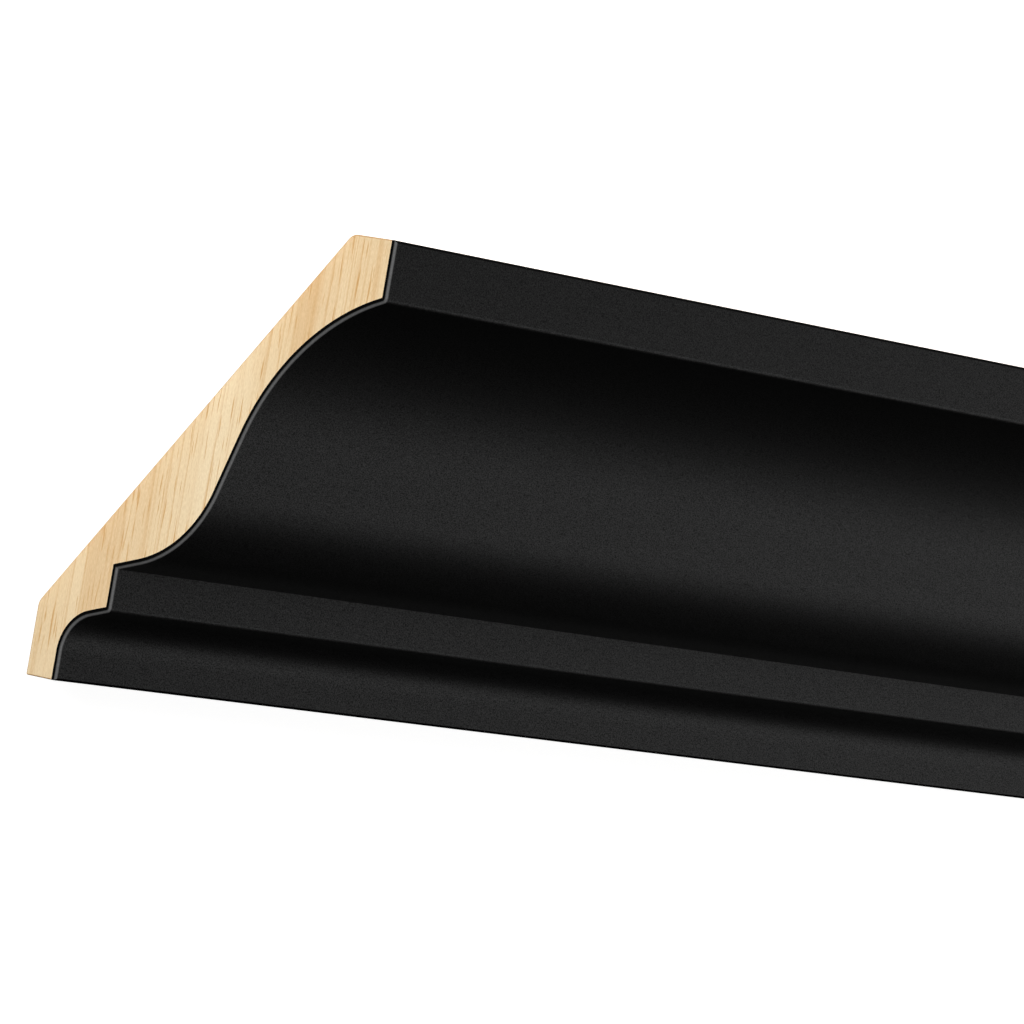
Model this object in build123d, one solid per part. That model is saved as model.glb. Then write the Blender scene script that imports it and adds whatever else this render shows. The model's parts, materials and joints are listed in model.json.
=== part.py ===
from build123d import *
from math import atan2, cos, degrees, radians, sin, tan
import os

# A stock length of sprung cornice moulding: a milled timber core whose moulded side carries a black facing.
# The section is drawn as it sits in a room: h is the distance out from the wall and v the height above
# the moulding's bottom edge. The finished moulding lies on its flat back, with its length along X.

# Overall sizes in millimetres
LENGTH = 2400.0
DROP = 92.1
PROJECTION = 73.0
FACING_THICKNESS = 1.1

# Flat faces that meet the wall and the ceiling, and the rounding where the back runs into them
WALL_LAND = 14.2
CEILING_LAND = 10.8
WALL_CORNER_RADIUS = 2.8
CEILING_CORNER_RADIUS = 2.5

# Foot, cove and low fillet of the timber
FOOT_DEPTH = 6.7
COVE_RADIUS = 9.2
FILLET_STEP = 10.7
LOW_FILLET_FOOT = 15.6
LOW_FILLET_HEIGHT = 8.2
RETURN_SLOPE = 17.0

# Ogee and top fillet of the timber
LEAD_IN = 6.2
NOSE_RADIUS = 24.3
FLANK_LENGTH = 11.9
HOLLOW_END_SLOPE = 20.0
TOP_FILLET_HEIGHT = 10.8

# Eased front arris of the facing
ARRIS_EASE = 0.5


def along(angle, distance=1.0):
    """Vector of a given length at an angle in degrees from level."""
    return Vector(distance * cos(radians(angle)), distance * sin(radians(angle)))


def left_of(angle, distance=1.0):
    """Vector of a given length at a right angle to a direction, on its left."""
    return along(angle + 90.0, distance)


# Spring of the moulding: the angle between its back and the wall
back_run = PROJECTION - CEILING_LAND
back_rise = DROP - WALL_LAND
SPRING = degrees(atan2(back_run, back_rise))

# Corners of the core that other points hang on
core_projection = PROJECTION - FACING_THICKNESS
fillet_depth = FOOT_DEPTH + FILLET_STEP
fillet_foot = Vector(fillet_depth, LOW_FILLET_FOOT)
fillet_top = Vector(fillet_depth, LOW_FILLET_FOOT + LOW_FILLET_HEIGHT)
top_fillet_foot = Vector(core_projection, DROP - TOP_FILLET_HEIGHT)
top_front = Vector(core_projection, DROP)
ceiling_inner = Vector(back_run, DROP)
wall_top = Vector(0, WALL_LAND)
bottom_back = Vector(0, 0)
bottom_front = Vector(FOOT_DEPTH, 0)

# Cove: an arc that leaves the upright foot and runs out along the sloped return under the low fillet
cove_h = FOOT_DEPTH + COVE_RADIUS
return_over_cove = LOW_FILLET_FOOT + (cove_h - fillet_depth) * tan(radians(RETURN_SLOPE))
cove_centre = Vector(cove_h, return_over_cove - COVE_RADIUS / cos(radians(RETURN_SLOPE)))
cove_start = cove_centre - Vector(COVE_RADIUS, 0)
cove_middle = cove_centre + left_of(45.0 + RETURN_SLOPE / 2, COVE_RADIUS)
cove_end = cove_centre + left_of(RETURN_SLOPE, COVE_RADIUS)

# Ogee: a short sloped lead-in, the rounded nose, a straight flank and the hollow under the top fillet.
# The nose is two arcs of one circle, which meet at its crown, the highest line when the back lies level.
# The hollow's radius is the one that leaves the flank smoothly and ends at the top fillet's foot.
nose_start = fillet_top + along(RETURN_SLOPE, LEAD_IN)
nose_centre = nose_start + left_of(RETURN_SLOPE, NOSE_RADIUS)
span = top_fillet_foot - nose_centre
hollow_side = left_of(HOLLOW_END_SLOPE, -1.0)
span_squared = span.dot(span)
hollow_radius = (span_squared - FLANK_LENGTH**2 - NOSE_RADIUS**2) / (2 * (NOSE_RADIUS - span.dot(hollow_side)))
hollow_centre = top_fillet_foot + hollow_side * hollow_radius
between = hollow_centre - nose_centre
flank_angle = degrees(atan2(between.Y, between.X) + atan2(NOSE_RADIUS + hollow_radius, FLANK_LENGTH))
nose_end = nose_centre - left_of(flank_angle, NOSE_RADIUS)
crown_angle = 90.0 - SPRING
nose_crown = nose_centre - left_of(crown_angle, NOSE_RADIUS)
nose_below = nose_centre - left_of((RETURN_SLOPE + crown_angle) / 2, NOSE_RADIUS)
nose_above = nose_centre - left_of((crown_angle + flank_angle) / 2, NOSE_RADIUS)
hollow_start = nose_end + along(flank_angle, FLANK_LENGTH)
hollow_middle = hollow_centre + left_of((HOLLOW_END_SLOPE + flank_angle) / 2, hollow_radius)

# Moulded side of the timber, from the bottom edge up to the ceiling
moulded_side = [
    Line(bottom_front, cove_start),
    ThreePointArc(cove_start, cove_middle, cove_end),
    Line(cove_end, fillet_foot),
    Line(fillet_foot, fillet_top),
    Line(fillet_top, nose_start),
    ThreePointArc(nose_start, nose_below, nose_crown),
    ThreePointArc(nose_crown, nose_above, nose_end),
    Line(nose_end, hollow_start),
    ThreePointArc(hollow_start, hollow_middle, top_fillet_foot),
    Line(top_fillet_foot, top_front),
]


def make_core():
    """Timber: the moulded side closed by the ceiling land, the back, the wall land and the bottom edge."""
    hidden_side = Polyline(top_front, ceiling_inner, wall_top, bottom_back, bottom_front)
    section = make_face(Curve() + moulded_side + hidden_side)
    ceiling_corner = section.vertices().sort_by_distance(ceiling_inner)[0]
    section = fillet(ceiling_corner, CEILING_CORNER_RADIUS)
    wall_corner = section.vertices().sort_by_distance(wall_top)[0]
    section = fillet(wall_corner, WALL_CORNER_RADIUS)
    return extrude(section, LENGTH)


def make_facing(core):
    """Black layer of even thickness on the moulded side, with its front arris eased all round."""
    path = Wire(edge for piece in moulded_side for edge in piece.edges())
    band = offset(path, FACING_THICKNESS, kind=Kind.ARC, side=Side.RIGHT, closed=True)
    facing = extrude(make_face(band.edges()), LENGTH, clean=False)
    upright = facing.faces().sort_by(Axis.Y)
    cut_faces = facing.faces().filter_by(Axis.Z) + [upright[0], upright[-1]]
    cut_edges = cut_faces.edges().filter_by(lambda edge: edge.distance_to(core) > FACING_THICKNESS / 2)
    return chamfer(ShapeList(set(cut_edges)), ARRIS_EASE)


# The section's own plane, turned so that the back lies level and the show face looks up. The width runs
# from the bottom edge at the wall to the end of the eased arris at the ceiling, and is centred on X.
width = (PROJECTION - ARRIS_EASE) * sin(radians(SPRING)) + DROP * cos(radians(SPRING))
back_height = WALL_LAND * sin(radians(SPRING))
section_plane = Plane(
    origin=(LENGTH / 2, -width / 2, back_height),
    x_dir=(0, sin(radians(SPRING)), cos(radians(SPRING))),
    z_dir=(-1, 0, 0),
)

core = make_core()
timber_core = section_plane * core
black_facing = section_plane * make_facing(core)

os.makedirs("parts", exist_ok=True)
export_step(timber_core, "parts/timber_core.step")
export_step(black_facing, "parts/black_facing.step")

print(f"spring {SPRING:.2f} deg, hollow radius {hollow_radius:.2f} mm, flank at {flank_angle:.2f} deg")
for name, shape in (("timber_core", timber_core), ("black_facing", black_facing)):
    size = shape.bounding_box().size
    print(f"{name}: {len(shape.solids())} solid, {size.X:.1f} x {size.Y:.1f} x {size.Z:.1f} mm")
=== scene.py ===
# %% [markdown]
# # A stock length of cornice moulding
# The real thing is milled timber with a black facing bonded to its moulded side. It lies on its flat back.
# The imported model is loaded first: it fixes where every face lies, and nothing below moves or resizes it.

# %% Load the frame
import json
from math import atan2, ceil, cos, degrees, radians, sin, tan

import bmesh
import bpy
from mathutils import Matrix, Vector


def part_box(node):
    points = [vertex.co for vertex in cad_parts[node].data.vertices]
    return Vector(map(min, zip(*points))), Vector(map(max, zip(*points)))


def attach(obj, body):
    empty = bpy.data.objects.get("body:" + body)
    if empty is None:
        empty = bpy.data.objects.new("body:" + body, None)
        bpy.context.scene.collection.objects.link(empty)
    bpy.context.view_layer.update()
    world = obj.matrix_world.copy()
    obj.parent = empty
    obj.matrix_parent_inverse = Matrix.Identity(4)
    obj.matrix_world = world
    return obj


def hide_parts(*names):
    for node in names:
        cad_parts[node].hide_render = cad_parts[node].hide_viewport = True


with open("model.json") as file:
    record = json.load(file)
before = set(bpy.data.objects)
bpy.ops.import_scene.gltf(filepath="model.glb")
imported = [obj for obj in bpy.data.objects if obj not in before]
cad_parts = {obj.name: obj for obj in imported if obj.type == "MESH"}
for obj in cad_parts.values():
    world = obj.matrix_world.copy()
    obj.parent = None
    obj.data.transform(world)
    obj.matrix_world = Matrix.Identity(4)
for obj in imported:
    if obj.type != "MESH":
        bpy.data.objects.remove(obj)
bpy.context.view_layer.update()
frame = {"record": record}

# %% [markdown]
# ## Where the section sits
# A moulding is drawn as it hangs in a room: h runs out from the wall, v runs up to the ceiling. The two
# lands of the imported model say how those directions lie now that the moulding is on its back, so the axes
# are read from them and no angle has to be typed in.

# %% Read the section's axes from the frame
mounts = {mount["name"]: mount for mount in frame["record"]["mounts"]}
wall_spot = Vector(mounts["wall_land"]["pos_m"])
ceiling_spot = Vector(mounts["ceiling_land"]["pos_m"])
OUT = -Vector(mounts["wall_land"]["axis"]).normalized()
UP = Vector(mounts["ceiling_land"]["axis"]).normalized()
core_low, core_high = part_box("timber_core")
facing_low, facing_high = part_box("black_facing")
NEAR_END = core_low.x
LENGTH = core_high.x - core_low.x

corner = wall_spot + UP * ((core_low.y - wall_spot.y) / UP.y)
corner.x = NEAR_END
DROP = (ceiling_spot - corner).dot(UP)
print(f"length {LENGTH:.3f} m, drop {DROP:.4f} m, spring {degrees(atan2(OUT.y, UP.y)):.2f} degrees")


def spot(point, x=NEAR_END):
    """Place in the frame of a section point (h, v)."""
    place = corner + OUT * point.x + UP * point.y
    place.x = x
    return place


def section_of(place):
    """Section point (h, v) of a place in the frame."""
    away = place - corner
    return Vector((away.dot(OUT), away.dot(UP)))


# %% [markdown]
# ## Sizes of the section
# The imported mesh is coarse: on a piece this long its arcs become a few flats. The same arcs are drawn again
# here, finely, from the radii that the cutter would have. Everything is in metres.

# %% Sizes of the section
MM = 0.001
FACING_THICKNESS = 1.1 * MM
ARRIS_EASE = 0.5 * MM
CEILING_LAND = 10.8 * MM
WALL_CORNER_RADIUS = 2.8 * MM
CEILING_CORNER_RADIUS = 2.5 * MM
FOOT_DEPTH = 6.7 * MM
COVE_RADIUS = 9.2 * MM
FILLET_STEP = 10.7 * MM
LOW_FILLET_FOOT = 15.6 * MM
LOW_FILLET_HEIGHT = 8.2 * MM
RETURN_SLOPE = 17.0
LEAD_IN = 6.2 * MM
NOSE_RADIUS = 24.3 * MM
FLANK_LENGTH = 11.9 * MM
HOLLOW_END_SLOPE = 20.0
TOP_FILLET_HEIGHT = 10.8 * MM

eased_tip = (facing_high.y - corner.y - DROP * UP.y) / OUT.y
PROJECTION = eased_tip + ARRIS_EASE
print(f"projection {PROJECTION:.4f} m over the facing")

# %% [markdown]
# ## Points that the curves hang on
# The cove leaves the upright foot and ends on the sloped return under the low fillet. The ogee is a short
# lead-in, a rounded nose, a straight flank and a hollow whose radius is whatever ends it at the top fillet.

# %% Work out the curve centres


def along(angle, distance=1.0):
    """Section vector at an angle in degrees from level."""
    return Vector((distance * cos(radians(angle)), distance * sin(radians(angle))))


def left_of(angle, distance=1.0):
    """Section vector at a right angle to a direction, on its left."""
    return along(angle + 90.0, distance)


core_projection = PROJECTION - FACING_THICKNESS
fillet_depth = FOOT_DEPTH + FILLET_STEP
bottom_front = Vector((FOOT_DEPTH, 0.0))
fillet_foot = Vector((fillet_depth, LOW_FILLET_FOOT))
fillet_top = Vector((fillet_depth, LOW_FILLET_FOOT + LOW_FILLET_HEIGHT))
top_fillet_foot = Vector((core_projection, DROP - TOP_FILLET_HEIGHT))
top_front = Vector((core_projection, DROP))

cove_h = FOOT_DEPTH + COVE_RADIUS
return_over_cove = LOW_FILLET_FOOT + (cove_h - fillet_depth) * tan(radians(RETURN_SLOPE))
cove_centre = Vector((cove_h, return_over_cove - COVE_RADIUS / cos(radians(RETURN_SLOPE))))

nose_start = fillet_top + along(RETURN_SLOPE, LEAD_IN)
nose_centre = nose_start + left_of(RETURN_SLOPE, NOSE_RADIUS)
span = top_fillet_foot - nose_centre
hollow_side = left_of(HOLLOW_END_SLOPE, -1.0)
hollow_reach = span.length_squared - FLANK_LENGTH**2 - NOSE_RADIUS**2
hollow_radius = hollow_reach / (2 * (NOSE_RADIUS - span.dot(hollow_side)))
hollow_centre = top_fillet_foot + hollow_side * hollow_radius
between = hollow_centre - nose_centre
flank_angle = degrees(atan2(between.y, between.x) + atan2(NOSE_RADIUS + hollow_radius, FLANK_LENGTH))
print(f"hollow radius {hollow_radius / MM:.2f} mm, flank at {flank_angle:.2f} degrees")

# %% [markdown]
# ## A pen for sections
# A section can be drawn in edit mode with two moves. Extruding one vertex draws a straight run, and
# spinning it about a centre draws an arc. The pen below remembers where it is, so that the section reads
# like a list of drawing moves. Spin turns against the right-hand rule, which here is a turn to the left.

# %% Make the section pen
ARC_STEP = 2.5
FEWEST_STEPS = 6


class SectionPen:
    """Draws a section at the near end, one extruded vertex at a time."""

    def __init__(self, name, start):
        bpy.ops.object.select_all(action="DESELECT")
        bpy.ops.mesh.primitive_plane_add(size=MM)
        self.piece = bpy.context.object
        self.piece.name = name
        self.piece.data.name = name
        bpy.ops.object.mode_set(mode="EDIT")
        bpy.ops.mesh.select_all(action="SELECT")
        bpy.ops.mesh.merge(type="CENTER")
        bpy.ops.transform.translate(value=spot(start))
        self.at = start

    def line_to(self, point):
        """Straight run to a section point."""
        bpy.ops.mesh.extrude_region_move(TRANSFORM_OT_translate={"value": spot(point) - spot(self.at)})
        self.at = point

    def arc(self, centre, turn):
        """Arc about a centre: a positive turn, in degrees, goes to the left."""
        steps = max(FEWEST_STEPS, ceil(abs(turn) / ARC_STEP))
        bpy.ops.mesh.spin(steps=steps, angle=radians(turn), center=spot(centre), axis=(1, 0, 0))
        self.at = centre + Matrix.Rotation(radians(turn), 2) @ (self.at - centre)


# %% [markdown]
# ## The moulded side
# This is the line that a router cutter leaves, from the bottom edge up to the ceiling. The timber has it
# with sharp corners. The facing's outside is the same line a layer further out, and there the two corners
# that stick out go round in an arc about the timber's corner. One set of moves draws both lines.

# %% Draw the moulded side


def draw_moulded_side(name, layer):
    """Draw the moulded side at a distance from the timber, and return the pen at its upper end."""
    aside = Vector((layer, 0.0))
    mitre_rise = layer * (tan(radians(RETURN_SLOPE)) - 1.0 / cos(radians(RETURN_SLOPE)))
    pen = SectionPen(name, bottom_front + aside)
    pen.line_to(cove_centre - Vector((COVE_RADIUS, 0.0)) + aside)
    pen.arc(cove_centre, RETURN_SLOPE - 90.0)
    pen.line_to(fillet_foot + left_of(RETURN_SLOPE, -layer))
    if layer:
        pen.arc(fillet_foot, 90.0 - RETURN_SLOPE)
    pen.line_to(fillet_top + Vector((layer, mitre_rise)))
    pen.line_to(nose_start + left_of(RETURN_SLOPE, -layer))
    pen.arc(nose_centre, flank_angle - RETURN_SLOPE)
    pen.line_to(pen.at + along(flank_angle, FLANK_LENGTH))
    pen.arc(hollow_centre, HOLLOW_END_SLOPE - flank_angle)
    if layer:
        pen.arc(top_fillet_foot, 90.0 - HOLLOW_END_SLOPE)
    pen.line_to(top_front + aside)
    bpy.ops.object.mode_set(mode="OBJECT")
    print(name, "follows the moulded side with", len(pen.piece.data.vertices), "points")
    return pen


facing = draw_moulded_side("facing_sheet", FACING_THICKNESS).piece
pen = draw_moulded_side("timber_body", 0.0)
timber = pen.piece

# %% [markdown]
# ## The timber
# The section is closed by the faces that nobody sees once it is up: the ceiling land, the flat back and the
# wall land, with a small rounding where the back runs into each land. The closed outline is filled and run
# out to the stock length in steps, which keeps the long faces from becoming slivers.

# %% Close the timber's section and run it out
RUNS = 24
SAME_POINT = 0.001 * MM


def activate(piece):
    """Make one piece the only selected and active object."""
    bpy.ops.object.select_all(action="DESELECT")
    piece.select_set(True)
    bpy.context.view_layer.objects.active = piece


def run_out():
    """Extrude the selection along the length, in equal runs."""
    for _ in range(RUNS):
        bpy.ops.mesh.extrude_region_move(TRANSFORM_OT_translate={"value": (LENGTH / RUNS, 0.0, 0.0)})


back_turn = degrees(atan2(UP.y, OUT.y))
land_turn = 90.0 - back_turn
ceiling_tangent = CEILING_CORNER_RADIUS * tan(radians(back_turn / 2))
wall_tangent = WALL_CORNER_RADIUS * tan(radians(land_turn / 2))
ceiling_inner = Vector((PROJECTION - CEILING_LAND, DROP))
wall_top = Vector((0.0, DROP - ceiling_inner.x / tan(radians(land_turn))))
down_back = along(180.0 + back_turn)

activate(timber)
bpy.ops.object.mode_set(mode="EDIT")
pen.line_to(ceiling_inner + Vector((ceiling_tangent, 0.0)))
pen.arc(pen.at - Vector((0.0, CEILING_CORNER_RADIUS)), back_turn)
pen.line_to(wall_top - down_back * wall_tangent)
pen.arc(pen.at + left_of(180.0 + back_turn, WALL_CORNER_RADIUS), land_turn)
pen.line_to(Vector((0.0, 0.0)))
pen.line_to(bottom_front)
bpy.ops.mesh.select_all(action="SELECT")
bpy.ops.mesh.remove_doubles(threshold=SAME_POINT)
bpy.ops.mesh.edge_face_add()
run_out()
bpy.ops.mesh.select_all(action="SELECT")
bpy.ops.mesh.normals_make_consistent(inside=False)
print(f"wall land {wall_top.y / MM:.2f} mm high, timber has {len(timber.data.vertices)} points")

# %% [markdown]
# ## Eased edges on the timber
# A saw leaves a crisp edge, and handling soon takes the corner off it. A very small bevel goes round the
# bare part of both cut ends and along the bottom corner that touches the wall. The edges next to the facing
# stay sharp, because there the facing covers them. A Bevel modifier picks its edges by angle and would take
# those too, so the edges are selected by their place and bevelled in edit mode.

# %% Ease the timber's bare edges
SAWN_EASE = 0.25 * MM
CLOSE = 0.4 * MM
SMOOTH_BELOW = radians(20.0)
FAR_END = NEAR_END + LENGTH


def on_an_end(edge):
    """True where an edge lies in one of the two cut ends."""
    return any(all(abs(v.co.x - end) < CLOSE for v in edge.verts) for end in (NEAR_END, FAR_END))


def on_a_bare_face(edge):
    """True where the middle of an edge lies on a land, the back or the bottom edge."""
    middle = (edge.verts[0].co + edge.verts[1].co) / 2
    point = section_of(middle)
    return min(point.x, DROP - point.y, middle.z, point.y) < CLOSE


def at_the_bottom_corner(edge):
    """True for the long edge where the bottom meets the wall."""
    return all(section_of(v.co).length < CLOSE for v in edge.verts)


def select_edges(piece, wanted):
    """In edit mode, select just the edges that pass a test, and return how many there are."""
    bpy.ops.mesh.select_mode(type="EDGE")
    bpy.ops.mesh.select_all(action="DESELECT")
    mesh = bmesh.from_edit_mesh(piece.data)
    chosen = [edge for edge in mesh.edges if wanted(edge)]
    for edge in chosen:
        edge.select_set(True)
    bmesh.update_edit_mesh(piece.data)
    return len(chosen)


count = select_edges(timber, lambda e: at_the_bottom_corner(e) or (on_an_end(e) and on_a_bare_face(e)))
bpy.ops.mesh.bevel(offset=SAWN_EASE, segments=2, affect="EDGES")
bpy.ops.object.mode_set(mode="OBJECT")
bpy.ops.object.shade_smooth_by_angle(angle=SMOOTH_BELOW)
print("eased", count, "edges of the timber")

# %% [markdown]
# ## The facing
# The facing is a thin sheet of even thickness that follows every turn of the timber. It could be drawn as a
# closed band, with every inner point worked out. Here its outside line is run out to a ribbon, and Solidify
# gives the ribbon its thickness towards the timber, which keeps the layer even by itself. Inside a rounded
# corner the points all land on the timber's own corner, so they are merged into one.

# %% Run the facing out and give it thickness
SAME_CORNER = 0.01 * MM

activate(facing)
bpy.ops.object.mode_set(mode="EDIT")
bpy.ops.mesh.select_all(action="SELECT")
run_out()
bpy.ops.mesh.select_all(action="SELECT")
bpy.ops.mesh.normals_make_consistent(inside=False)
bpy.ops.object.mode_set(mode="OBJECT")
foot_face = min(facing.data.polygons, key=lambda face: section_of(face.center).y)
if foot_face.normal.dot(OUT) < 0.0:
    bpy.ops.object.mode_set(mode="EDIT")
    bpy.ops.mesh.flip_normals()
    bpy.ops.object.mode_set(mode="OBJECT")

solidify = facing.modifiers.new("thickness", "SOLIDIFY")
solidify.thickness = FACING_THICKNESS
solidify.offset = -1.0
solidify.use_even_offset = True
bpy.ops.object.modifier_apply(modifier=solidify.name)
bpy.ops.object.mode_set(mode="EDIT")
bpy.ops.mesh.select_all(action="SELECT")
bpy.ops.mesh.remove_doubles(threshold=SAME_CORNER)
bpy.ops.mesh.normals_make_consistent(inside=False)
bpy.ops.object.mode_set(mode="OBJECT")
print(f"facing reaches {max(section_of(v.co).x for v in facing.data.vertices) / MM:.2f} mm from the wall")

# %% [markdown]
# ## The facing's front arris
# The front arris is eased all round: along the top and bottom edges and round both cut ends. That narrow
# slope is what shows as a grey line beside the cut end, because it faces the light and its finish paints a
# highlight on it. Its edges are picked by place: off the timber by more than half the thickness.

# %% Ease the front arris


def off_the_timber(vertex):
    """True where a vertex is on the show side of the facing."""
    found, nearest, _, _ = timber.closest_point_on_mesh(vertex.co)
    return found and (nearest - vertex.co).length > FACING_THICKNESS / 2


def on_the_front_arris(edge):
    """True where the show side ends: at a cut end, at the bottom edge or at the ceiling."""
    heights = [section_of(v.co).y for v in edge.verts]
    level = any(all(abs(v - height) < CLOSE for v in heights) for height in (0.0, DROP))
    return (on_an_end(edge) or level) and all(off_the_timber(v) for v in edge.verts)


bpy.ops.object.mode_set(mode="EDIT")
count = select_edges(facing, on_the_front_arris)
bpy.ops.mesh.bevel(offset=ARRIS_EASE, segments=1, affect="EDGES", clamp_overlap=False)
bpy.ops.mesh.select_all(action="SELECT")
bpy.ops.mesh.normals_make_consistent(inside=False)
bpy.ops.object.mode_set(mode="OBJECT")
bpy.ops.object.shade_smooth_by_angle(angle=SMOOTH_BELOW)
print("eased", count, "edges of the front arris, facing has", len(facing.data.polygons), "faces")

# %% [markdown]
# ## Tools for patterns
# A finish is a small tree of nodes, and a few moves come back in all of them, so each becomes a helper. A
# picture of wood would be quicker to apply, but it stretches and repeats along a piece as long as this one.
# Noise is solid: it has a value at every point of the piece, however the surface cuts through it.

# %% Helpers that make patterns


def new_finish(name):
    """Empty node material with its shader, ready to be wired."""
    finish = bpy.data.materials.new(name)
    finish.use_nodes = True
    shader = finish.node_tree.nodes["Principled BSDF"]
    return finish, finish.node_tree, shader


def stretched(tree, grain, per_mm):
    """Grain coordinates at a pace, in cycles per millimetre, along the length, across h and up v."""
    stretch = tree.nodes.new("ShaderNodeMapping")
    stretch.inputs["Scale"].default_value = [pace / MM for pace in per_mm]
    tree.links.new(grain, stretch.inputs["Vector"])
    return stretch.outputs["Vector"]


def streaks(tree, grain, per_mm, detail=2.0):
    """Noise drawn out into streaks."""
    noise = tree.nodes.new("ShaderNodeTexNoise")
    noise.inputs["Scale"].default_value = 1.0
    noise.inputs["Detail"].default_value = detail
    tree.links.new(stretched(tree, grain, per_mm), noise.inputs["Vector"])
    return noise.outputs["Fac"]


def growth_lines(tree, grain, per_mm, wander):
    """Saw-toothed bands across h that wander a little, like growth rings cut lengthwise."""
    wave = tree.nodes.new("ShaderNodeTexWave")
    wave.wave_type = "BANDS"
    wave.bands_direction = "Y"
    wave.wave_profile = "SAW"
    wave.inputs["Scale"].default_value = 1.0
    wave.inputs["Distortion"].default_value = wander
    wave.inputs["Detail"].default_value = 2.0
    wave.inputs["Detail Scale"].default_value = 1.0
    tree.links.new(stretched(tree, grain, per_mm), wave.inputs["Vector"])
    return wave.outputs["Fac"]


# %% [markdown]
# ## Tools for colour and relief
# A pattern is only a grey value. A ramp turns it into colours, or into a mask that says where a second
# colour is laid over the first. A bump turns it into a fine grain that the light picks up, which is enough
# for relief too small to see in outline.

# %% Helpers that use patterns


def ramp(tree, value, stops):
    """Colour ramp through (position, colour) stops."""
    node = tree.nodes.new("ShaderNodeValToRGB")
    while len(node.color_ramp.elements) < len(stops):
        node.color_ramp.elements.new(0.5)
    for element, (position, colour) in zip(node.color_ramp.elements, stops):
        element.position = position
        element.color = (*colour, 1.0)
    tree.links.new(value, node.inputs["Fac"])
    return node.outputs["Color"]


def grey(value):
    """A grey as a colour, for masks."""
    return (value, value, value)


def laid_over(tree, below, above, mask):
    """A colour laid over another where a mask says so."""
    mix = tree.nodes.new("ShaderNodeMix")
    mix.data_type = "RGBA"
    mix.inputs["B"].default_value = (*above, 1.0)
    tree.links.new(mask, mix.inputs["Factor"])
    tree.links.new(below, mix.inputs["A"])
    return mix.outputs["Result"]


def times(tree, first, second):
    """Two masks multiplied."""
    mix = tree.nodes.new("ShaderNodeMix")
    mix.data_type = "RGBA"
    mix.blend_type = "MULTIPLY"
    mix.inputs["Factor"].default_value = 1.0
    tree.links.new(first, mix.inputs["A"])
    tree.links.new(second, mix.inputs["B"])
    return mix.outputs["Result"]


def raised(tree, shader, height, strength, depth):
    """Bump from a height, wired to the shader."""
    bump = tree.nodes.new("ShaderNodeBump")
    bump.inputs["Strength"].default_value = strength
    bump.inputs["Distance"].default_value = depth
    tree.links.new(height, bump.inputs["Height"])
    tree.links.new(bump.outputs["Normal"], shader.inputs["Normal"])


# %% [markdown]
# ## Grain of the timber
# The wood is pale and straight-grained, and its fibres run up v and along the length. The grain's own axes
# are the section's, so the object coordinates are turned to them first. Two growth bands are far broader
# than the rest. Noise can't be told where to put them, so each is placed by its distance along h.

# %% Colours and axes of the grain
PALE = (0.90, 0.75, 0.515)
STRAW = (0.82, 0.635, 0.395)
TAN = (0.66, 0.405, 0.175)
PORE = (0.64, 0.37, 0.14)
WARM_SHADE = (0.87, 0.83, 0.76)
WHITE = (1.0, 1.0, 1.0)
BROAD_BANDS = [(10.2 * MM, 25.0 * MM), (51.5 * MM, 62.0 * MM)]


def grain_axes(tree):
    """Object coordinates turned to the section: length, h and v."""
    place = tree.nodes.new("ShaderNodeTexCoord")
    turn = tree.nodes.new("ShaderNodeMapping")
    turn.inputs["Rotation"].default_value[0] = -atan2(OUT.z, OUT.y)
    tree.links.new(place.outputs["Object"], turn.inputs["Vector"])
    return turn.outputs["Vector"]


def broad_band(tree, grain, start, end):
    """Mask of a broad growth band, which starts sharply at one distance along h and fades out by another."""
    axes = tree.nodes.new("ShaderNodeSeparateXYZ")
    reach = tree.nodes.new("ShaderNodeMapRange")
    reach.inputs["From Min"].default_value = corner.dot(OUT) + start
    reach.inputs["From Max"].default_value = corner.dot(OUT) + end
    tree.links.new(grain, axes.inputs["Vector"])
    tree.links.new(axes.outputs["Y"], reach.inputs["Value"])
    rise = [(0.0, grey(0.0)), (0.06, grey(0.42)), (0.48, grey(0.38))]
    fade = [(0.6, grey(0.2)), (0.9, grey(0.2)), (1.0, grey(0.0))]
    return ramp(tree, reach.outputs["Result"], rise + fade)


print("broad growth bands, mm along h:", [(round(a / MM, 1), round(b / MM, 1)) for a, b in BROAD_BANDS])

# %% [markdown]
# ## Bare timber
# Over the slow changes of tone come thin growth lines that darken slowly and stop sharply, short pore dashes
# and fine fibres, all of them far longer than they are wide. Each texture is squeezed across h and stretched
# up v and along the length, which turns its blobs into streaks. One solid pattern is used, so that the end,
# the lands and the back agree where they meet.

# %% Timber finish
WOOD_GLOSS = 0.2

timber_finish, tree, shader = new_finish("bare_timber")
grain = grain_axes(tree)
tone = streaks(tree, grain, (0.0015, 0.055, 0.008), detail=4.0)
colour = ramp(tree, tone, [(0.38, STRAW), (0.62, PALE)])
for start, end in BROAD_BANDS:
    colour = laid_over(tree, colour, TAN, broad_band(tree, grain, start, end))
rings = growth_lines(tree, grain, (0.0006, 0.11, 0.004), wander=8.0)
ring_mask = ramp(tree, rings, [(0.72, grey(0.0)), (0.94, grey(0.56)), (0.98, grey(0.56)), (1.0, grey(0.0))])
patchy = ramp(tree, streaks(tree, grain, (0.003, 0.4, 0.02)), [(0.38, grey(0.2)), (0.62, grey(1.0))])
colour = laid_over(tree, colour, TAN, times(tree, ring_mask, patchy))
threads = streaks(tree, grain, (0.002, 0.45, 0.008), detail=3.0)
thread_mask = ramp(tree, threads, [(0.475, grey(0.0)), (0.5, grey(0.5)), (0.525, grey(0.0))])
colour = laid_over(tree, colour, TAN, times(tree, thread_mask, patchy))
pores = streaks(tree, grain, (0.02, 2.0, 0.11), detail=1.0)
pore_mask = ramp(tree, pores, [(0.62, grey(0.0)), (0.7, grey(0.9))])
colour = laid_over(tree, colour, PORE, pore_mask)
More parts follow.
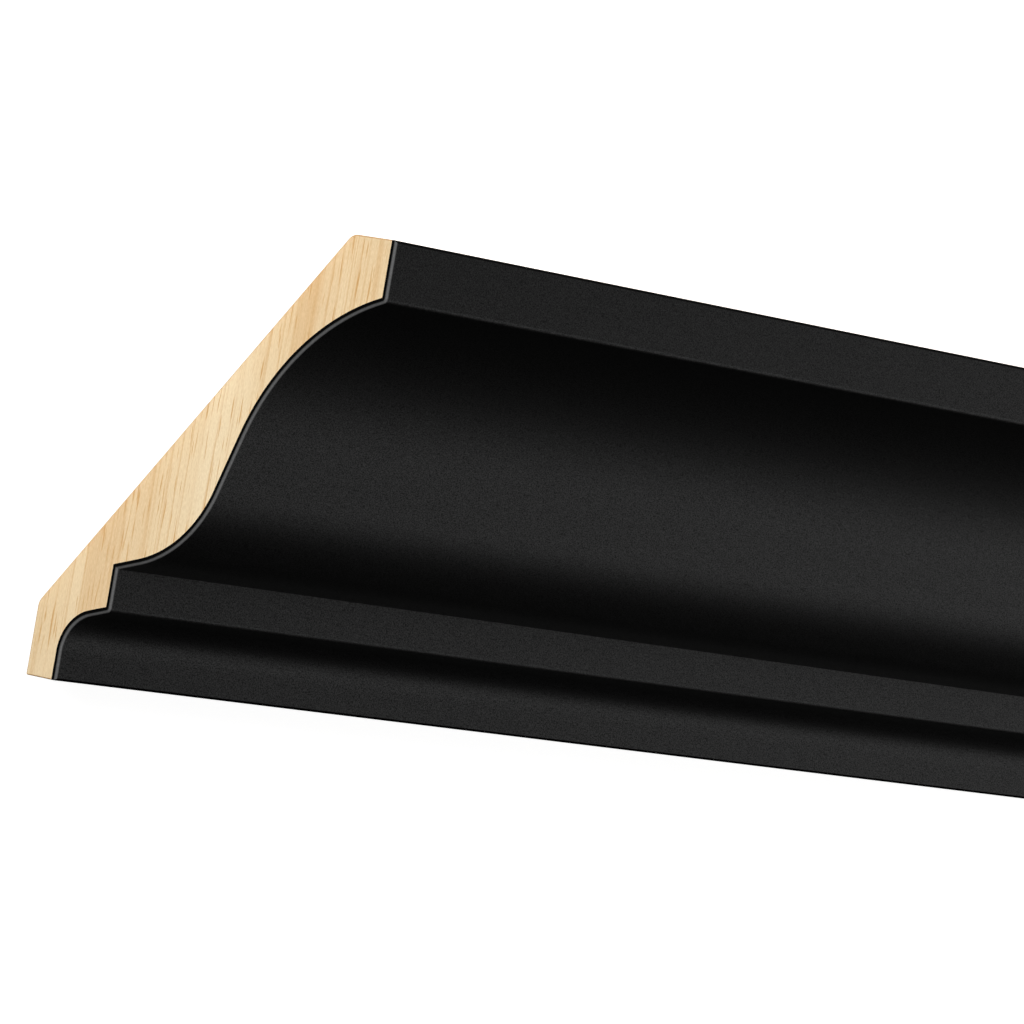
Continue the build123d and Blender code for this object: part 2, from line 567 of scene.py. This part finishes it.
fibres = streaks(tree, grain, (0.05, 4.5, 1.2), detail=2.0)
colour = times(tree, colour, ramp(tree, fibres, [(0.25, WARM_SHADE), (0.68, WHITE)]))
tree.links.new(colour, shader.inputs["Base Color"])

rough = ramp(tree, fibres, [(0.3, grey(0.62)), (0.7, grey(0.74))])
tree.links.new(rough, shader.inputs["Roughness"])
shader.inputs["Specular IOR Level"].default_value = WOOD_GLOSS
raised(tree, shader, fibres, strength=0.15, depth=0.05 * MM)
print("timber finish has", len(tree.nodes), "nodes")

# %% [markdown]
# ## Painted shade on the sawn edge
# The small bevel round the bare wood of each cut end gets a browner, darker finish of its own. That is
# painted shade: it draws the thin dark line round the bare wood.

# %% Finish of the sawn edge
# Painted shade: the bevel is coloured a darker brown than the wood beside it.
edge_shade_finish, tree, shader = new_finish("timber_edge_painted_shade")
fibres = streaks(tree, grain_axes(tree), (0.05, 2.0, 0.5), detail=2.0)
colour = ramp(tree, fibres, [(0.3, (0.46, 0.27, 0.12)), (0.7, (0.66, 0.45, 0.24))])
tree.links.new(colour, shader.inputs["Base Color"])
shader.inputs["Roughness"].default_value = 0.7
shader.inputs["Specular IOR Level"].default_value = WOOD_GLOSS
print("sawn edge finish has", len(tree.nodes), "nodes")

# %% [markdown]
# ## Black facing
# The show face is black with a low sheen and a very fine, leathery grain. One fine noise drives its shade,
# its roughness, the strength of its sheen and its relief, so that the hollows of the grain are dark, dull and
# low all at once, as in a real embossed layer.

# %% Finish of the show face


def mottled_black(name, per_mm, dark, light):
    """Black finish whose depth varies with a fine noise. Returns the finish and its parts."""
    finish, tree, shader = new_finish(name)
    place = tree.nodes.new("ShaderNodeTexCoord")
    noise = tree.nodes.new("ShaderNodeTexNoise")
    noise.inputs["Scale"].default_value = per_mm / MM
    noise.inputs["Detail"].default_value = 2.0
    tree.links.new(place.outputs["Object"], noise.inputs["Vector"])
    shade = ramp(tree, noise.outputs["Fac"], [(0.3, grey(dark)), (0.7, grey(light))])
    tree.links.new(shade, shader.inputs["Base Color"])
    return finish, tree, shader, noise.outputs["Fac"]


facing_finish, tree, shader, leather = mottled_black("black_facing", 4.0, 0.0008, 0.006)
sheen = ramp(tree, leather, [(0.3, grey(0.48)), (0.7, grey(0.41))])
tree.links.new(sheen, shader.inputs["Roughness"])
gleam = ramp(tree, leather, [(0.36, grey(0.22)), (0.64, grey(0.86))])
tree.links.new(gleam, shader.inputs["Specular IOR Level"])
raised(tree, shader, leather, strength=0.35, depth=0.05 * MM)
print("show face finish has", len(tree.nodes), "nodes")

# %% [markdown]
# ## Cut edge and painted arris highlight
# The cut edge is the inside of the layer, with no sheen at all. The eased arris round a cut end is painted
# grey as a highlight, brightest along its middle. That slope is only half a millimetre deep, so its painted
# highlight is read from how far a point lies behind the cut end.

# %% Finishes of the cut edge and the arris


def behind_an_end(tree, depth):
    """Goes from 0 at either cut end to 1 at a depth behind it."""
    place = tree.nodes.new("ShaderNodeTexCoord")
    axes = tree.nodes.new("ShaderNodeSeparateXYZ")
    away = tree.nodes.new("ShaderNodeMath")
    away.operation = "ABSOLUTE"
    reach = tree.nodes.new("ShaderNodeMapRange")
    reach.inputs["From Min"].default_value = FAR_END
    reach.inputs["From Max"].default_value = FAR_END - depth
    tree.links.new(place.outputs["Object"], axes.inputs["Vector"])
    tree.links.new(axes.outputs["X"], away.inputs[0])
    tree.links.new(away.outputs[0], reach.inputs["Value"])
    return reach.outputs["Result"]


# The same dark, sheenless finish also covers the eased arris along the bottom edge and the ceiling, as
# painted shade.
cut_edge_and_shade_finish, tree, shader, _ = mottled_black("facing_cut_edge_and_painted_shade", 3.0, 0.0006, 0.0016)
shader.inputs["Roughness"].default_value = 0.9
shader.inputs["Specular IOR Level"].default_value = 0.03

# Painted highlight: the arris is coloured grey, lighter along its middle, where the lamp's highlight sits.
arris_highlight_finish, tree, shader, _ = mottled_black("facing_arris_painted_highlight", 3.0, 0.095, 0.13)
highlight_stops = [(0.0, grey(0.15)), (0.33, WHITE), (0.67, WHITE), (1.0, grey(0.15))]
highlight_fade = ramp(tree, behind_an_end(tree, ARRIS_EASE), highlight_stops)
shade = shader.inputs["Base Color"].links[0].from_socket
tree.links.new(times(tree, shade, highlight_fade), shader.inputs["Base Color"])
shader.inputs["Roughness"].default_value = 0.8
shader.inputs["Specular IOR Level"].default_value = 0.1
print("painted arris highlight finish has", len(tree.nodes), "nodes")

# %% [markdown]
# ## Put the finishes on
# A piece can hold several finishes, and each of its faces says which one it takes. The timber is bare wood
# but for the small bevel round its cut ends, which slopes and takes a painted shade. On the facing, a face
# takes the dark cut-edge finish when it lies square in a cut end, or along the bottom edge or the ceiling,
# where on the eased arris it is painted shade. It takes the painted arris highlight when it slopes back
# from a cut end.

# %% Assign the finishes and tie the pieces to the frame
SQUARE = 0.99
SLOPED = 0.4
LENGTHWISE = 0.05
FACE, CUT_AND_SHADE, ARRIS = 0, 1, 2


def facing_part(face):
    """Which finish a face of the facing takes."""
    height = section_of(face.center).y
    # Along the long edges this takes in the eased arris too, which gets the dark finish as painted shade.
    at_a_long_edge = abs(face.normal.dot(UP)) > SLOPED and min(height, DROP - height) < CLOSE
    if at_a_long_edge or abs(face.normal.x) > SQUARE:
        return CUT_AND_SHADE
    return ARRIS if abs(face.normal.x) > SLOPED else FACE


for finish in (timber_finish, edge_shade_finish):
    timber.data.materials.append(finish)
for face in timber.data.polygons:
    face.material_index = int(LENGTHWISE < abs(face.normal.x) < SQUARE)
for finish in (facing_finish, cut_edge_and_shade_finish, arris_highlight_finish):
    facing.data.materials.append(finish)
for face in facing.data.polygons:
    face.material_index = facing_part(face)

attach(timber, "root")
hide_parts("timber_core")
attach(facing, "root")
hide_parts("black_facing")
parts = [face.material_index for face in facing.data.polygons]
print("facing faces: show", parts.count(FACE), "cut", parts.count(CUT_AND_SHADE), "arris", parts.count(ARRIS))

# %% [markdown]
# ## Floor
# The moulding lies on a plain white floor. More light would whiten it, and would wash out the moulding as
# well. So the floor shows a glow of its own to the camera and in reflections, with ordinary lit paint added
# to it, which still takes the shadow. Other rays meet the paint alone, so the glow lights nothing.

# %% Floor
FLOOR_SIZE = 12.0
FLOOR_SHADE = 0.9
FLOOR_GLOW = 0.93

bpy.ops.object.select_all(action="DESELECT")
bpy.ops.mesh.primitive_plane_add(size=FLOOR_SIZE)
floor = bpy.context.object
floor.name = "studio_floor"

floor_finish = bpy.data.materials.new("studio_floor_paint")
floor_finish.use_nodes = True
tree = floor_finish.node_tree
tree.nodes.clear()
paint = tree.nodes.new("ShaderNodeBsdfDiffuse")
paint.inputs["Color"].default_value = (*grey(FLOOR_SHADE), 1.0)
glow = tree.nodes.new("ShaderNodeEmission")
glow.inputs["Strength"].default_value = FLOOR_GLOW
shown = tree.nodes.new("ShaderNodeAddShader")
path = tree.nodes.new("ShaderNodeLightPath")
camera_or_gloss = tree.nodes.new("ShaderNodeMath")
camera_or_gloss.operation = "MAXIMUM"
seen = tree.nodes.new("ShaderNodeMath")
seen.operation = "MAXIMUM"
choose = tree.nodes.new("ShaderNodeMixShader")
out = tree.nodes.new("ShaderNodeOutputMaterial")
tree.links.new(path.outputs["Is Camera Ray"], camera_or_gloss.inputs[0])
tree.links.new(path.outputs["Is Glossy Ray"], camera_or_gloss.inputs[1])
tree.links.new(camera_or_gloss.outputs[0], seen.inputs[0])
tree.links.new(path.outputs["Is Transmission Ray"], seen.inputs[1])
tree.links.new(paint.outputs[0], shown.inputs[0])
tree.links.new(glow.outputs[0], shown.inputs[1])
tree.links.new(seen.outputs[0], choose.inputs["Fac"])
tree.links.new(paint.outputs[0], choose.inputs[1])
tree.links.new(shown.outputs[0], choose.inputs[2])
tree.links.new(choose.outputs[0], out.inputs["Surface"])
floor.data.materials.append(floor_finish)
print("floor", FLOOR_SIZE, "m wide, finish has", len(tree.nodes), "nodes")

# %% [markdown]
# ## Camera
# The photograph is taken with a long lens from the near end, looking down on the face. The camera is rolled
# so that the moulding's own upright edges stand up in the picture, as they would on a wall.

# %% Camera
LENS_MM = 253.860
SENSOR_MM = 36.0
CAMERA_SPOT = Vector((-2.20521, 0.57279, 0.70319))
AIM_SPOT = Vector((-1.11439, 0.00251, 0.01209))
ROLL = -145.9855

camera_data = bpy.data.cameras.new("photo_camera")
camera_data.lens = LENS_MM
camera_data.sensor_width = SENSOR_MM
camera = bpy.data.objects.new("photo_camera", camera_data)
bpy.context.scene.collection.objects.link(camera)
sight = (AIM_SPOT - CAMERA_SPOT).to_track_quat("-Z", "Y").to_matrix()
rolled = sight @ Matrix.Rotation(-radians(ROLL), 3, "Z")
camera.matrix_world = Matrix.Translation(CAMERA_SPOT) @ rolled.to_4x4()
bpy.context.scene.camera = camera
print(f"camera {(AIM_SPOT - CAMERA_SPOT).length:.3f} m from the point it looks at")

# %% [markdown]
# ## Lights
# A softbox over the bench is mirrored in the black sheen, which gives the flank its soft band, and a soft
# lamp by the camera lights the cut end. One large lamp could do both, but it would fill the dark bands
# beside the flank. The far half has two such lamps as well, so that the piece reads from every side.

# %% Lights
END_LAMP_SPOT = Vector((-2.64, 0.985, 0.489))
END_LAMP_SIZE = (0.6, 0.6)
END_LAMP_WATTS = 35.0
FAR_LAMP_WATTS = 6.0
FAR_LAMP_SPREAD = 30.0
BENCH_LAMP_SPOT = Vector((-0.403, 0.108, 0.534))
BENCH_LAMP_AIM = Vector((-1.0, 0.0, 0.0))
BENCH_LAMP_SIZE = (0.57, 1.0)
BENCH_LAMP_WATTS = 0.83
FILL = 0.002


def softbox(name, place, aim, size, power, spread=180.0):
    """Rectangular soft lamp at a place, turned towards a point."""
    data = bpy.data.lights.new(name, "AREA")
    data.shape = "RECTANGLE"
    data.size, data.size_y = size
    data.energy = power
    data.spread = radians(spread)
    lamp = bpy.data.objects.new(name, data)
    bpy.context.scene.collection.objects.link(lamp)
    facing_way = (aim - place).to_track_quat("-Z", "Y").to_matrix().to_4x4()
    lamp.matrix_world = Matrix.Translation(place) @ facing_way
    return lamp


def mirrored(place):
    """The same place at the other half of the length."""
    return Vector((-place.x, place.y, place.z))


near_end_spot = Vector((NEAR_END, 0.0, 0.0))
lamps = [
    softbox("end_softbox", END_LAMP_SPOT, near_end_spot, END_LAMP_SIZE, END_LAMP_WATTS),
    softbox("bench_softbox", BENCH_LAMP_SPOT, BENCH_LAMP_AIM, BENCH_LAMP_SIZE, BENCH_LAMP_WATTS),
    softbox("far_end_softbox", mirrored(END_LAMP_SPOT), mirrored(near_end_spot), END_LAMP_SIZE,
            FAR_LAMP_WATTS, FAR_LAMP_SPREAD),
    softbox("far_bench_softbox", mirrored(BENCH_LAMP_SPOT), mirrored(BENCH_LAMP_AIM), BENCH_LAMP_SIZE,
            BENCH_LAMP_WATTS),
]
print("lamps:", ", ".join(f"{lamp.name} {lamp.data.energy:.2f} W" for lamp in lamps))

world = bpy.data.worlds.new("studio")
world.use_nodes = True
world.node_tree.nodes["Background"].inputs["Color"].default_value = (*WHITE, 1.0)
world.node_tree.nodes["Background"].inputs["Strength"].default_value = FILL
bpy.context.scene.world = world
bpy.context.scene.view_settings.view_transform = "Standard"
